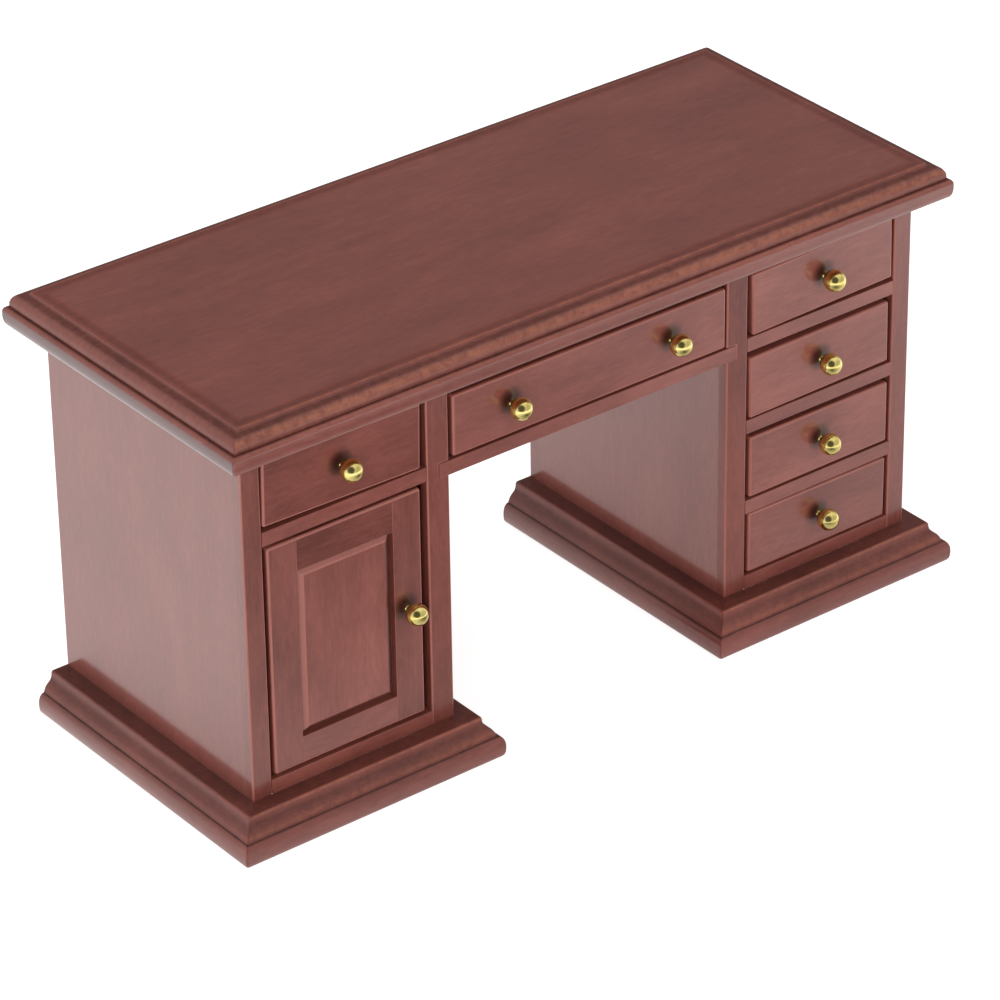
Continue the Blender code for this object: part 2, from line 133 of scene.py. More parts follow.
class StageSettings(PropertyGroup):
    floor: FloatVectorProperty(
        name="Floor", description="Colour of the plain floor", subtype="COLOR", size=3, min=0,
        max=1, default=(0.50, 0.50, 0.50))
    glow: FloatProperty(
        name="Floor light", description="Light let through the floor from below", min=0, max=4,
        default=0.82)
    sky: FloatProperty(
        name="Soft light", description="Strength of the light tent round the table", min=0, max=10,
        default=0.9)
    lens: FloatProperty(
        name="Lens", description="Focal length on a 36 mm sensor, in millimetres", min=20, max=400,
        default=185.3)


# Modelling ---------------------------------------------------------------------


def middle(item):
    """The middle of a face, an edge or a vertex."""
    corners = getattr(item, "verts", [item])
    return sum((v.co for v in corners), Vector()) / len(corners)


def pick(kind, test):
    """Select the verts, edges or faces of the piece in edit mode that pass a test."""
    bpy.ops.mesh.select_all(action="DESELECT")
    bpy.ops.mesh.select_mode(type=kind)
    mesh = bmesh.from_edit_mesh(bpy.context.edit_object.data)
    items = {"VERT": mesh.verts, "EDGE": mesh.edges, "FACE": mesh.faces}[kind]
    for item in items:
        if test(item):
            item.select_set(True)
    mesh.select_flush_mode()
    bmesh.update_edit_mesh(bpy.context.edit_object.data)


def facing(direction):
    """A test for faces that look along a direction."""
    aim = Vector(direction).normalized()
    return lambda face: face.normal.dot(aim) > 0.99


def start_block(name, low, high):
    """A block between two corners, left in edit mode with nothing selected."""
    bpy.ops.object.select_all(action="DESELECT")
    low, high = Vector(low), Vector(high)
    bpy.ops.mesh.primitive_cube_add(size=1.0, location=(low + high) / 2, scale=high - low)
    piece = bpy.context.active_object
    piece.name = name
    piece.data.name = name
    bpy.ops.object.transform_apply(location=True, rotation=True, scale=True)
    bpy.ops.object.mode_set(mode="EDIT")
    bpy.ops.mesh.select_all(action="DESELECT")
    return piece


def stop_editing():
    """Leave edit mode."""
    bpy.ops.object.mode_set(mode="OBJECT")


def apply(piece, kind, **settings):
    """Add one modifier with its settings and apply it."""
    bpy.ops.object.select_all(action="DESELECT")
    piece.select_set(True)
    bpy.context.view_layer.objects.active = piece
    modifier = piece.modifiers.new(kind.title(), kind)
    for key, value in settings.items():
        setattr(modifier, key, value)
    bpy.ops.object.modifier_apply(modifier=modifier.name)


def shade(piece, angle=35):
    """Smooth the rounded parts and keep the flat parts flat."""
    bpy.ops.object.select_all(action="DESELECT")
    piece.select_set(True)
    bpy.context.view_layer.objects.active = piece
    bpy.ops.object.shade_smooth_by_angle(angle=math.radians(angle))
    apply(piece, "WEIGHTED_NORMAL", keep_sharp=True)


def soften(piece, width, segments=None, butts=()):
    """Round a piece's sharp edges: fully, or only just on sides that butt against others.

    A piece with a second material gets it on the rounded edges."""
    edges = bpy.context.scene.table_edges
    mesh = bmesh.new()
    mesh.from_mesh(piece.data)
    weight = mesh.edges.layers.float.new("bevel_weight_edge")
    for edge in mesh.edges:
        if len(edge.link_faces) == 2 and edge.calc_face_angle(0) > math.radians(30):
            butted = any(face.normal.dot(Vector(side)) > 0.99
                         for face in edge.link_faces for side in butts)
            edge[weight] = 0.12 if butted else 1.0
    mesh.to_mesh(piece.data)
    mesh.free()
    apply(piece, "BEVEL", width=width, segments=segments or edges.segments,
          limit_method="WEIGHT", use_clamp_overlap=True,
          material=1 if len(piece.data.materials) > 1 else -1)


def coat(piece, *materials):
    """Give a piece its materials: the wood's own, then the one for its rounded edges."""
    piece.data.materials.clear()
    for material in materials:
        piece.data.materials.append(material)


def extrude_by(shift):
    """Extrude what is selected."""
    bpy.ops.mesh.extrude_region_move(TRANSFORM_OT_translate={"value": shift})


def climb(levels, footprint, z):
    """Carry the selected face from level to level of a profile of (inset, height)."""
    low, high = footprint
    centre = (low + high) / 2
    span = high - low
    before = levels[0][0]
    for inset, height in levels[1:]:
        extrude_by((0, 0, height - z))
        scale = [(span[i] - 2 * inset) / (span[i] - 2 * before) for i in (X, Y)]
        bpy.ops.transform.resize(value=(scale[0], scale[1], 1),
                                 center_override=(centre.x, centre.y, height))
        before = inset
        z = height


def moulded_block(name, low, high, below, above):
    """A block whose four sides follow a moulding. Each profile is a list of (inset, height)
    that starts at the block's own lower or upper edge."""
    low, high = Vector(low), Vector(high)
    piece = start_block(name, (low.x, low.y, below[0][1]), (high.x, high.y, above[0][1]))
    pick("FACE", facing((0, 0, 1)))
    climb(above, (low, high), above[0][1])
    pick("FACE", facing((0, 0, -1)))
    climb(below, (low, high), below[0][1])
    return piece


def cut_off(point, normal):
    """Saw off what lies on the normal's side of a plane and close the cut."""
    bpy.ops.mesh.select_all(action="SELECT")
    bpy.ops.mesh.bisect(plane_co=point, plane_no=normal, use_fill=True, clear_outer=True)


def arc(centre, radius, start, end, steps):
    """Points on an arc of a profile, in millimetres, with angles in degrees."""
    angles = [math.radians(start + (end - start) * i / steps) for i in range(steps + 1)]
    return [(centre[0] + radius * math.cos(a), centre[1] + radius * math.sin(a)) for a in angles]


def in_metres(profile, lift=0.0):
    """A profile in metres, lifted to a height, from one in millimetres."""
    return [(inset * MM, lift + height * MM) for inset, height in profile]


def tilt_by(piece, angle):
    """Turn the piece in edit mode in the plane of its front, about its own middle."""
    bpy.ops.mesh.select_all(action="SELECT")
    mesh = bmesh.from_edit_mesh(piece.data)
    centre = middle(mesh)
    turn = Matrix.Rotation(math.radians(angle), 3, "Y")
    bmesh.ops.rotate(mesh, cent=centre, matrix=turn, verts=mesh.verts)
    bmesh.update_edit_mesh(piece.data)


# Shading -----------------------------------------------------------------------


class Value:
    """A socket of a material, with arithmetic on it."""

    def __init__(self, finish, socket):
        self.finish = finish
        self.socket = socket

    def _math(self, operation, first, second, clamp=False):
        node = self.finish.node("ShaderNodeMath", {"operation": operation, "use_clamp": clamp},
                                {0: first, 1: second})
        return Value(self.finish, node.outputs[0])

    def __add__(self, other):
        return self._math("ADD", self, other)

    def __sub__(self, other):
        return self._math("SUBTRACT", self, other)

    def __rsub__(self, other):
        return self._math("SUBTRACT", other, self)

    def __mul__(self, other):
        return self._math("MULTIPLY", self, other)

    __radd__ = __add__
    __rmul__ = __mul__

    def __lt__(self, other):
        return self._math("LESS_THAN", self, other)

    def clamped(self):
        return self._math("ADD", self, 0.0, clamp=True)

    def size(self):
        return self._math("ABSOLUTE", self, 0.0)

    def least(self, other):
        return self._math("MINIMUM", self, other)


class Nodes:
    """The nodes of one material or of the world."""

    def __init__(self, tree):
        self.tree = tree

    def node(self, kind, settings=None, inputs=None):
        """Make a node: its type, its settings, then the values or links of its sockets."""
        made = self.tree.nodes.new(kind)
        for key, value in (settings or {}).items():
            setattr(made, key, value)
        for key, value in (inputs or {}).items():
            self.feed(made.inputs[key], value)
        return made

    def feed(self, socket, value):
        """Link or set one input."""
        if isinstance(value, Value):
            self.tree.links.new(value.socket, socket)
        elif isinstance(value, bpy.types.NodeSocket):
            self.tree.links.new(value, socket)
        else:
            socket.default_value = value

    def place(self, shift=(0, 0, 0), scale=(1, 1, 1)):
        """Object coordinates, moved and stretched."""
        coordinates = self.node("ShaderNodeTexCoord")
        mapping = self.node("ShaderNodeMapping", {}, {
            "Vector": coordinates.outputs["Object"], "Location": shift, "Scale": scale})
        return mapping.outputs[0]

    def noise(self, shift, scale, detail=3.0, roughness=0.5, distortion=0.0):
        """A stretched noise pattern from 0 to 1."""
        made = self.node("ShaderNodeTexNoise", {"noise_dimensions": "3D"}, {
            "Vector": self.place(shift, scale), "Scale": 1.0, "Detail": detail,
            "Roughness": roughness, "Distortion": distortion})
        return Value(self, made.outputs[0])

    def steps(self, value, stops):
        """A curve through (position, height) stops."""
        ramp = self.node("ShaderNodeValToRGB", {}, {0: value})
        points = ramp.color_ramp.elements
        while len(points) < len(stops):
            points.new(0.5)
        for point, (position, height) in zip(points, stops):
            point.position = position
            point.color = (height, height, height, 1)
        return Value(self, ramp.outputs[0])

    def blend(self, factor, first, second):
        """Mix two colours."""
        made = self.node("ShaderNodeMix", {"data_type": "RGBA"}, {0: factor})
        for socket, colour in ((made.inputs[6], first), (made.inputs[7], second)):
            self.feed(socket, colour if isinstance(colour, bpy.types.NodeSocket)
                      else (*colour, 1.0))
        return made.outputs[2]


class Finish(Nodes):
    """One material, built node by node."""

    def __init__(self, name):
        self.material = bpy.data.materials.new(name)
        self.material.use_nodes = True
        super().__init__(self.material.node_tree)
        self.shader = self.tree.nodes["Principled BSDF"]

    def bump(self, height, distance):
        """Raise the surface a little by a pattern."""
        made = self.node("ShaderNodeBump", {}, {
            "Height": height, "Distance": distance, "Strength": 1.0})
        self.feed(self.shader.inputs["Normal"], made.outputs[0])


def grain_scale(axis, along, across):
    """Stretch of a pattern: cells per metre along the grain and across it."""
    scale = [across, across, across]
    scale[axis] = along
    return scale


def number_of(name):
    """A steady number from 0 to 1 for a name."""
    total = 0
    for position, letter in enumerate(name, start=7):
        total = (total * 31 + ord(letter) * position) % 9973
    return total / 9973


def round_moulding(finish, moulding):
    """How far a point lies round a moulding, as a share of its girth, and whether it lies on
    the front or the back rather than at an end."""
    low, high = moulding.low, moulding.high
    parts = finish.node("ShaderNodeSeparateXYZ", {}, {0: finish.place()}).outputs
    across, deep, height = (Value(finish, part) for part in parts)
    from_end = (high.x - low.x) / 2 - (across - (low.x + high.x) / 2).size()
    from_front = (high.y - low.y) / 2 - (deep - (low.y + high.y) / 2).size()
    share = (from_end.least(from_front) + height - low.z) * (1.0 / moulding.girth)
    return share, from_front < from_end


def stain_and_shade_moulding(finish, colour, shift, moulding):
    """Rub the stain off a moulding's high parts, with a painted highlight mostly on its front, and
    let stain gather in its hollows, which also paints shade into the creases; the ends get painted
    shade.
    Gives the colour, and how far round the moulding a point lies."""
    wood = bpy.context.scene.table_wood
    share, on_front = round_moulding(finish, moulding)
    patches = finish.noise(shift, (700, 700, 700), 3.0, 0.65, 0.6)
    uneven = finish.steps(patches, ((0.34, 1.0), (0.66, 0.55)))
    speckled = finish.steps(patches, ((0.36, 0.25), (0.60, 1.0)))
    # Wear thins the stain, and a painted highlight lightens it more on the front than on the ends.
    worn_and_lit = finish.steps(share, moulding.rubbed) * speckled
    colour = finish.blend(worn_and_lit * (on_front * 0.85 + 0.15), colour, wood.rubbed)
    # Stain gathered in the hollows, which also paints shade into the creases.
    colour = finish.blend(finish.steps(share, moulding.pooled) * uneven, colour, wood.pooled)
    # Painted shade on the ends of the moulding only.
    if moulding.at_ends:
        amount = finish.steps(share, moulding.at_ends) * (1 - on_front)
        colour = finish.blend(amount, colour, wood.pooled)
    return colour, share


def paint_knob_shade(finish, colour, knobs):
    """Paint shade on the wood round and just above each knob: its painted shadow and dark
    reflection.
    """
    halo = 4 * MM
    for place in knobs:
        out = finish.node("ShaderNodeVectorMath", {"operation": "DISTANCE"}, {
            0: finish.place(), 1: place}).outputs["Value"]
        # Painted shade, darkest next to the knob and gone at 70 % of the halo.
        knob_shade = finish.steps(Value(finish, out) * (1 / halo),
                            ((0.28, 0.90), (0.44, 0.62), (0.70, 0.0)))
        colour = finish.blend(knob_shade, colour, bpy.context.scene.table_wood.pooled)
    return colour


def mahogany(name, grain, moulding=None, tone=0.0, blotch=1.0, knobs=(), varnish=1.0):
    """Stained and varnished wood with its grain along one axis.

    tone makes it lighter or darker and blotch says how cloudy the stain is. knobs are the
    places round which shade is painted for its knobs. varnish is how much is left; a moulding has a
    curve of its own."""
    wood = bpy.context.scene.table_wood
    finish = Finish(name)
    seed = number_of(name)
    shift = (3.1 * seed, 5.3 * seed, 7.7 * seed)
    clouds = finish.noise(shift, grain_scale(grain, 38, 85), 2.0, 0.55, 0.4)
    streaks = finish.noise(shift, grain_scale(grain, 55, 620), 3.0, 0.6, 0.25)
    fibres = finish.noise(shift, grain_scale(grain, 260, 3800), 2.0, 0.6)
    flecks = finish.noise(shift, grain_scale(grain, 420, 1500), 2.0, 0.7, 0.6)
    board_tone = tone + 0.08 * (seed - 0.5)
    depth = (clouds - 0.5) * (0.85 * blotch) + (streaks - 0.5) * 0.30 + (fibres - 0.5) * 0.34
    depth = (depth + (flecks - 0.5) * 0.46 + (0.5 + board_tone)).clamped()
    lower = finish.blend(finish.steps(depth, ((0.0, 0.0), (0.5, 1.0))), wood.dark, wood.mid)
    colour = finish.blend(finish.steps(depth, ((0.5, 0.0), (1.0, 1.0))), lower, wood.light)
    if moulding:
        colour, share = stain_and_shade_moulding(finish, colour, shift, moulding)
        varnish = finish.steps(share, moulding.varnish)
    colour = paint_knob_shade(finish, colour, knobs)
    finish.feed(finish.shader.inputs["Base Color"], colour)
    rough = wood.roughness + (streaks - 0.5) * 0.18 + (flecks - 0.5) * 0.12
    finish.feed(finish.shader.inputs["Roughness"], rough)
    finish.feed(finish.shader.inputs["Coat Weight"], varnish)
    finish.shader.inputs["Coat Roughness"].default_value = wood.varnish_roughness
    finish.shader.inputs["IOR"].default_value = 1.5
    finish.shader.inputs["Specular IOR Level"].default_value = 0.28
    ripple = finish.noise(shift, (900, 900, 900), 1.0, 0.4)
    relief = fibres * 0.45 + streaks * 0.25 + flecks * 0.35 + ripple * 0.5
    finish.bump(relief, 0.02 * MM)
    return finish.material


def lining_wood(name, grain):
    """Bare pale wood, as inside a drawer."""
    wood = bpy.context.scene.table_wood
    finish = Finish(name)
    seed = number_of(name)
    shift = (2.3 * seed, 4.1 * seed, 6.7 * seed)
    streaks = finish.noise(shift, grain_scale(grain, 40, 480), 3.0, 0.6, 0.3)
    fibres = finish.noise(shift, grain_scale(grain, 300, 3600), 2.0, 0.6)
    depth = ((streaks - 0.5) * 1.1 + (fibres - 0.5) * 0.6 + 0.45).clamped()
    darker = [0.62 * c for c in wood.lining]
    finish.feed(finish.shader.inputs["Base Color"], finish.blend(depth, wood.lining, darker))
    finish.feed(finish.shader.inputs["Roughness"], 0.62 + (fibres - 0.5) * 0.2)
    finish.bump(fibres + streaks * 0.5, 0.03 * MM)
    return finish.material


def polished_brass(name):
    """Turned brass: faint lathe lines and a little tarnish."""
    brass = bpy.context.scene.table_brass
    finish = Finish(name)
    seed = number_of(name)
    cloud = finish.noise((seed, seed, seed), (600, 600, 600), 2.0, 0.5)
    lines = finish.noise((seed, 2 * seed, seed), (120, 9000, 120), 2.0, 0.5)
    deeper = [brass.colour[0] * 0.86, brass.colour[1] * 0.80, brass.colour[2] * 0.62]
    finish.feed(finish.shader.inputs["Base Color"],
                finish.blend(finish.steps(cloud, ((0.42, 0.0), (0.72, 1.0))), brass.colour, deeper))
    finish.shader.inputs["Metallic"].default_value = 1.0
    finish.feed(finish.shader.inputs["Roughness"], brass.roughness + (cloud - 0.5) * 0.08)
    finish.bump(lines, 0.002 * MM)
    return finish.material


# Putting pieces on the frame ------------------------------------------------------


def own(piece, body, nodes, material=None):
    """Give a finished piece its body and the nodes it stands for."""
    if material:
        coat(piece, material)
    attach(piece, body)
    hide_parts(*nodes)


def board(node, body, grain, grow_low=(0, 0, 0), grow_high=(0, 0, 0), width=None, tilt=0.0,
          tone=0.0, blotch=1.0, butts=(), knobs=(), varnish=1.0):
    """A plain board in a node's place, let out to meet its neighbours, with sanded edges."""
    low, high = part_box(node)
    low = low - Vector(grow_low) * HAIRLINE
    high = high + Vector(grow_high) * HAIRLINE
    piece = start_block(f"wood_{node}", low, high)
    if tilt:
        tilt_by(piece, tilt)
    stop_editing()
    coat(piece, mahogany(f"mahogany_{node}", grain, tone=tone, blotch=blotch, knobs=knobs,
                         varnish=varnish), worn_and_lit_edge(node, grain, knobs))
    soften(piece, width or bpy.context.scene.table_edges.board, butts=butts)
    shade(piece)
    own(piece, body, [node])
    return piece


def worn_and_lit_edge(node, grain, knobs=()):
    """Wood whose stain is rubbed thin on a rounded edge, its lighter tone also a painted highlight
    along the arris.
    """
    return mahogany(f"mahogany_{node}_edge", grain, tone=0.46, blotch=0.7, knobs=knobs)


# Operators -------------------------------------------------------------------------


class TABLE_OT_top(Operator):
    """Model the moulded top"""

    bl_idname = "table.top"
    bl_label = "Top"

    def execute(self, context):
        low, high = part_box("table_top")
        below = in_metres([(0.0, 1.7), (0.05, 1.1), (0.17, 0.55), (0.38, 0.18), (0.7, 0.0)], low.z)
        nosing = [(0.0, 2.45), (0.05, 2.8), (0.22, 3.08), (0.5, 3.26), (0.8, 3.33)]
        ovolo = [(0.95, 3.22)] + arc((2.75, 3.9), 1.85, 198, 105, 7)
        cove = [(2.8, 5.66), (3.15, 5.72), (3.38, 5.86), (3.48, 6.04), (3.55, 6.16), (3.7, 6.2)]
        above = in_metres(nosing + ovolo + cove, low.z)
        piece = moulded_block("wood_table_top", low, high, below, above)
        pick("EDGE", upright_corner)
        bpy.ops.mesh.bevel(offset=context.scene.table_edges.corner, segments=3, affect="EDGES")
        stop_editing()
        shade(piece, 28)
        # The top's curves: stain in the hollows with painted shade, wear with a painted highlight,
        # varnish, and painted shade on the ends.
        pooled = ((0.0, 0.0), (0.30, 0.05), (0.33, 0.85), (0.37, 0.35), (0.45, 0.1),
                  (0.56, 0.25), (0.62, 0.62), (0.72, 0.58), (0.77, 0.05), (0.81, 0.0),
                  (0.85, 0.42), (0.91, 0.30), (0.96, 0.0))
        rubbed = ((0.0, 0.0), (0.22, 0.0), (0.27, 0.18), (0.31, 0.0), (0.41, 0.1), (0.50, 0.42),
                  (0.56, 0.30), (0.62, 0.0), (0.76, 0.0), (0.79, 0.35), (0.82, 0.0))
        varnish = ((0.0, 1.0), (0.20, 1.0), (0.26, 0.3), (0.95, 0.35), (0.99, 1.0))
        at_ends = ((0.0, 0.62), (0.19, 0.62), (0.245, 0.0))
        edge = Moulding(low, high, 12.4 * MM, pooled, rubbed, varnish, at_ends)
        own(piece, "carcass", ["table_top"],
            mahogany("mahogany_top", X, edge, tone=-0.05, blotch=0.6))
        return {"FINISHED"}


def upright_corner(edge):
    """True for an edge that runs up a moulding's corner."""
    run = edge.verts[0].co - edge.verts[1].co
    return abs(run.x) > 1e-7 and abs(run.y) > 1e-7 or abs(run.z) > 0.99 * run.length


class TABLE_OT_plinths(Operator):
    """Model the mitred plinth mouldings round both pedestals"""

    bl_idname = "table.plinths"
    bl_label = "Plinths"

    swell = 0.35 * MM                 # how much fuller than the frame's the mouldings are

    def execute(self, context):
        for side in ("left", "right"):
            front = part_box(f"{side}_plinth_front")
            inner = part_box(f"{side}_plinth_inner")
            reach = inner[1].x - inner[0].x + HAIRLINE + self.swell
            low = Vector((front[0].x - self.swell, front[0].y - self.swell, 0))
            high = Vector((front[1].x + self.swell, inner[1].y, front[1].z))
            for part in ("front", "inner", "outer"):
                self.strip(context, side, part, low, high, reach)
        return {"FINISHED"}

    def strip(self, context, side, part, low, high, reach):
        """Saw one strip out of a moulded block as large as the pedestal's foot."""
        profile = [(0.0, 1.9), (0.06, 2.6), (0.26, 3.2), (0.6, 3.62), (0.95, 3.8), (1.1, 3.76)]
        profile += [(1.22, 4.05), (1.4, 4.55), (1.68, 4.98), (2.1, 5.36), (2.5, 5.72)]
        profile += [(2.74, 6.15), (2.84, 6.6)] + arc((3.3, 6.95), 0.45, 185, 90, 4)
        above = in_metres(profile + [(reach / MM, 7.4)])
        below = in_metres([(0.0, 1.5), (0.05, 0.85), (0.16, 0.4), (0.34, 0.12), (0.6, 0.0)])
        far = Vector((high.x, high.y + 2 * reach, high.z))
        node = f"{side}_plinth_{part}"
        piece = moulded_block(f"wood_{node}", low, far, below, above)
        pick("EDGE", upright_corner)
        bpy.ops.mesh.bevel(offset=context.scene.table_edges.corner, segments=3, affect="EDGES")
        cut_off((0, high.y, 0), (0, 1, 0))
        left = Vector((low.x + reach, low.y + reach, 0))
        right = Vector((high.x - reach, low.y + reach, 0))
        relief = Vector((SEAM, 0, 0))
        on_left = (part == "outer") == (side == "left")
        if part == "front":
            cut_off(left + relief, (-1, 1, 0))
            cut_off(right - relief, (1, 1, 0))
            cut_off(left, (0, 1, 0))
        elif on_left:
            cut_off(left - relief, (1, -1, 0))
            cut_off(left, (1, 0, 0))
        else:
            cut_off(right + relief, (-1, -1, 0))
            cut_off(right, (-1, 0, 0))
        stop_editing()
        shade(piece, 28)
        # The plinth's curves: stain in the hollows with painted shade, wear with a painted
        # highlight, and varnish.
        pooled = ((0.0, 0.0), (0.32, 0.10), (0.36, 0.85), (0.39, 0.30), (0.44, 0.12),
                  (0.52, 0.35), (0.64, 0.50), (0.72, 0.15), (0.745, 0.0), (0.775, 0.0),
                  (0.81, 0.50), (0.92, 0.55), (1.0, 0.62))
        rubbed = ((0.0, 0.0), (0.38, 0.0), (0.43, 0.20), (0.50, 0.10), (0.58, 0.0),
                  (0.72, 0.0), (0.755, 0.35), (0.79, 0.0))
        varnish = ((0.0, 0.8), (0.26, 0.7), (0.34, 0.2), (0.95, 0.2), (1.0, 0.3))
        own(piece, "carcass", [node],
            mahogany(f"mahogany_{node}", X if part == "front" else Y,
                     Moulding(low, far, 13.4 * MM, pooled, rubbed, varnish), tone=-0.12))


class TABLE_OT_carcass(Operator):
    """Model the pedestals' sides, backs, floors and shelves"""

    bl_idname = "table.carcass"
    bl_label = "Pedestals and shelves"

    def execute(self, context):
        ends = ((0, -1, 0), (0, 0, 1))
        sides_and_top = ((1, 0, 0), (-1, 0, 0), (0, 0, 1))
        for side in ("left", "right"):
            for node in (f"{side}_outer_side", f"{side}_inner_side"):
                board(node, "carcass", Z, (0, 1, 0), (0, 0, 1), tone=0.03, blotch=0.5,
                      butts=ends)
            board(f"{side}_back", "carcass", Z, (1, 0, 0), (1, 0, 1), butts=sides_and_top)
        for node in ("left_floor", "right_floor", "left_shelf", "right_upper_shelf",
                     "right_middle_shelf", "right_lower_shelf"):
            self.shelf(node)
        self.centre_shelf()
        board("centre_back", "carcass", X, (1, 0, 0), (1, 0, 1), butts=sides_and_top)
        return {"FINISHED"}

    def shelf(self, node):
        """A shelf that narrows at its front to a rail between two stiles."""
        side = node.split("_")[0]
        low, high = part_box(node)
        stiles = sorted([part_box(f"{side}_outer_stile"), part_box(f"{side}_inner_stile")],
                        key=lambda box: box[0].x)
        rail = (stiles[0][1].x + GAP - HAIRLINE, stiles[1][0].x - GAP + HAIRLINE)
        self.stepped(node, rail, (low.x - HAIRLINE, high.x + HAIRLINE), stiles[0][1].y + SEAM)

    def centre_shelf(self):
        """The board under the centre drawer, let into the stiles by its wider front part."""
        low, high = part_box("centre_shelf")
        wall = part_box("right_inner_side")[0].x - SEAM
        self.stepped("centre_shelf", (low.x - HAIRLINE, high.x + HAIRLINE), (-wall, wall),
                     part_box("right_inner_stile")[1].y)

    def stepped(self, node, front, behind, step):
        """A board that changes its width at a step: its front part, then the part behind."""
        low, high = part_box(node)
        piece = start_block(f"wood_{node}", (front[0], low.y, low.z), (front[1], step, high.z))
        pick("FACE", facing((0, 1, 0)))
        extrude_by((0, SLIVER, 0))
        centre = (front[0] + front[1]) / 2
        bpy.ops.transform.resize(value=((behind[1] - behind[0]) / (front[1] - front[0]), 1, 1),
                                 center_override=(centre, step, low.z))
        shift = (behind[0] + behind[1]) / 2 - centre
        bpy.ops.transform.translate(value=(shift, 0, 0))
        extrude_by((0, high.y - step, 0))
        self.complete(piece, node)

    def complete(self, piece, node):
        """Round the shelf's edges and give it its wood."""
        stop_editing()
        coat(piece, mahogany(f"mahogany_{node}", X), worn_and_lit_edge(node, X))
        soften(piece, bpy.context.scene.table_edges.front, butts=((1, 0, 0), (-1, 0, 0)))
        shade(piece)
        own(piece, "carcass", [node])


class TABLE_OT_face_frame(Operator):
    """Model the stiles and the long rail on the front"""

    bl_idname = "table.face_frame"
    bl_label = "Stiles and top rail"

    def execute(self, context):
        for side in ("left", "right"):
            board(f"{side}_outer_stile", "carcass", Z, (0, 0, 0), (0, 0, 1),
                  tone=-0.12, butts=((0, 1, 0), (0, 0, 1)))
            self.notched_stile(context, side)
        board("top_rail", "carcass", X, (1, 0, 0), (1, 0, 1),
              butts=((1, 0, 0), (-1, 0, 0), (0, 0, 1)))
        return {"FINISHED"}

    def notched_stile(self, context, side):
        """A stile with a notch in its kneehole edge for the end of the centre rail."""
        low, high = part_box(f"{side}_inner_stile")
        rail_low, rail_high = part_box("centre_shelf")
        sign = 1 if low.x > 0 else -1
        edge, far = (low.x, high.x) if sign > 0 else (high.x, low.x)
        notch = sign * (rail_high.x + HAIRLINE + SEAM)
        piece = start_block(f"wood_{side}_inner_stile", (min(notch, far), low.y, low.z),
                            (max(notch, far), high.y, high.z + HAIRLINE))
        for z in (rail_low.z - SEAM, rail_high.z + SEAM):
            bpy.ops.mesh.select_all(action="SELECT")
            bpy.ops.mesh.bisect(plane_co=(0, 0, z), plane_no=(0, 0, 1))
        pick("FACE", lambda f: f.normal.x * sign < -0.99
             and not rail_low.z < middle(f).z < rail_high.z)
        extrude_by((edge - notch, 0, 0))
        stop_editing()
        node = f"{side}_inner_stile"
        # The darker tone is painted shade on the kneehole's stiles.
        coat(piece, mahogany(f"mahogany_{node}", Z, tone=-0.20, varnish=0.5),
             worn_and_lit_edge(node, Z))
        soften(piece, context.scene.table_edges.board, butts=((0, 1, 0), (0, 0, 1)))
        shade(piece)
        own(piece, "carcass", [node])


def knob_shade_spots(body):
    """Where shade is painted on the wood round and just above the knobs of a drawer or the door."""
    shade_spots = []
    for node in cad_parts:
        if node.startswith(body) and "knob" in node and "stile" not in node:
            low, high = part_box(node)
            # The painted shade sits a little left of and above each knob, where its dark reflection
            # falls.
            shade_spots.append(((low.x + high.x) / 2 - 0.4 * MM, high.y,
                         (low.z + high.z) / 2 + 0.6 * MM))
    return shade_spots


class TABLE_OT_drawers(Operator):
    """Model the six drawers: fronts, linings and bottoms"""

    bl_idname = "table.drawers"
    bl_label = "Drawers"

    # How much each front is turned, in degrees, and how light its wood is: partly each front's own
    # tone and partly painted light and shade, the left drawer's dark tone being painted shade.
    tilts = {"left_drawer": 1.2, "centre_drawer": 0.0, "right_drawer_1": -1.2,
             "right_drawer_2": -0.7, "right_drawer_3": 0.0, "right_drawer_4": 0.3}
    tones_and_shade = {"left_drawer": -0.16, "centre_drawer": 0.04, "right_drawer_1": 0.03,
             "right_drawer_2": 0.18, "right_drawer_3": 0.06, "right_drawer_4": 0.0}

    def execute(self, context):
        for name in DRAWERS:
            deeper, varnish = (1.2, 0.15) if name == "left_drawer" else (0, 1.0)
            board(f"{name}_front", name, X, (0, 0, deeper),
                  width=context.scene.table_edges.front, tilt=self.tilts[name],
                  tone=self.tones_and_shade[name], blotch=1.1, knobs=knob_shade_spots(name), varnish=varnish)
            self.walls(context, name)
            self.bottom(name)
        return {"FINISHED"}

    def walls(self, context, name):
        """Two sides and a back, butted and joined."""
        low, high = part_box(f"{name}_frame")
        wall = 1.5 * MM
        near = low.y - HAIRLINE
        spans = ((low.x, low.x + wall, near, high.y), (high.x - wall, high.x, near, high.y),
                 (low.x + wall + SEAM, high.x - wall - SEAM, high.y - wall, high.y))
        parts = []
        for i, (x0, x1, y0, y1) in enumerate(spans):
            part = start_block(f"lining_{name}_{i}", (x0, y0, low.z), (x1, y1, high.z))
            stop_editing()
            soften(part, 0.2 * MM, 2)
            parts.append(part)
        bpy.ops.object.select_all(action="DESELECT")
        for part in parts:
            part.select_set(True)
        context.view_layer.objects.active = parts[0]
        bpy.ops.object.join()
        parts[0].name = f"lining_{name}_walls"
        shade(parts[0])
        own(parts[0], name, [f"{name}_frame"],
            lining_wood(f"lining_{name}_walls", Y))

    def bottom(self, name):
        """The thin board under a drawer."""
        low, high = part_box(f"{name}_bottom")
        piece = start_block(f"lining_{name}_bottom",
                            (low.x - HAIRLINE, low.y - HAIRLINE, low.z),
                            (high.x + HAIRLINE, high.y + HAIRLINE, high.z))
        stop_editing()
        soften(piece, 0.1 * MM, 2)
        shade(piece)
        own(piece, name, [f"{name}_bottom"],
            lining_wood(f"lining_{name}_bottom", X))


